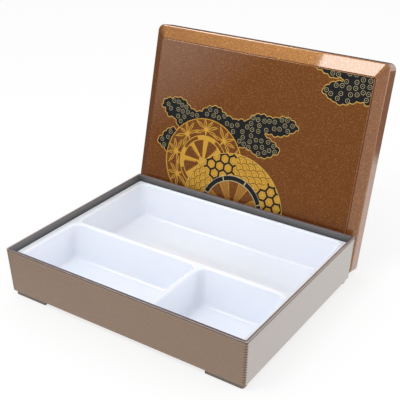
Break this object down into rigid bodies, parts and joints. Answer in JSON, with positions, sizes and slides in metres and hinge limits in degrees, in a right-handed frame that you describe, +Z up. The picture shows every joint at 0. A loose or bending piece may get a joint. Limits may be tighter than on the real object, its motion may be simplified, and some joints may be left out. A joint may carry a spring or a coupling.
{
  "type": "bento box",
  "caption": "Low rectangular bento box with a drop-in compartment tray, corner feet and an over-fitting lacquered lid, shown taken off and leaning back behind the case.",
  "frame": {"origin": "bottom centre of the whole part's box, on the table, with the lid standing behind the case", "axes": "+Z up, +X along the case's long side to the right, +Y from the case's front towards the leaning lid"},
  "size_m": [0.2776, 0.282, 0.2144],
  "materials": {
    "bronze_case": "moulded ABS with fine level ribs, satin bronze spray paint outside and dark grey inside",
    "dark_foot": "moulded ABS, satin dark bronze",
    "white_tray": "moulded polypropylene, white, glossy",
    "flecked_lid": "ABS sprayed brown with fine gold flecks under clear lacquer, printed in gold and black",
    "gold_print": "gold ink printed on the lid, satin",
    "black_print": "black ink printed on the lid, satin"
  },
  "bodies": {
    "case": {"case": "bronze_case", "foot_front_left": "dark_foot", "foot_front_right": "dark_foot", "foot_back_left": "dark_foot", "foot_back_right": "dark_foot"},
    "tray": {"tray": "white_tray"},
    "lid": {"lid": "flecked_lid"}
  },
  "joints": [
    {"name": "tray_lift", "type": "slide", "parent": "case", "child": "tray", "axis": [0, 0, 1], "range_m": [0, 0.1]},
    {"name": "lid_lift", "type": "slide", "parent": "case", "child": "lid", "axis": [0, 0, 1], "range_m": [0, 0.25]}
  ]
}
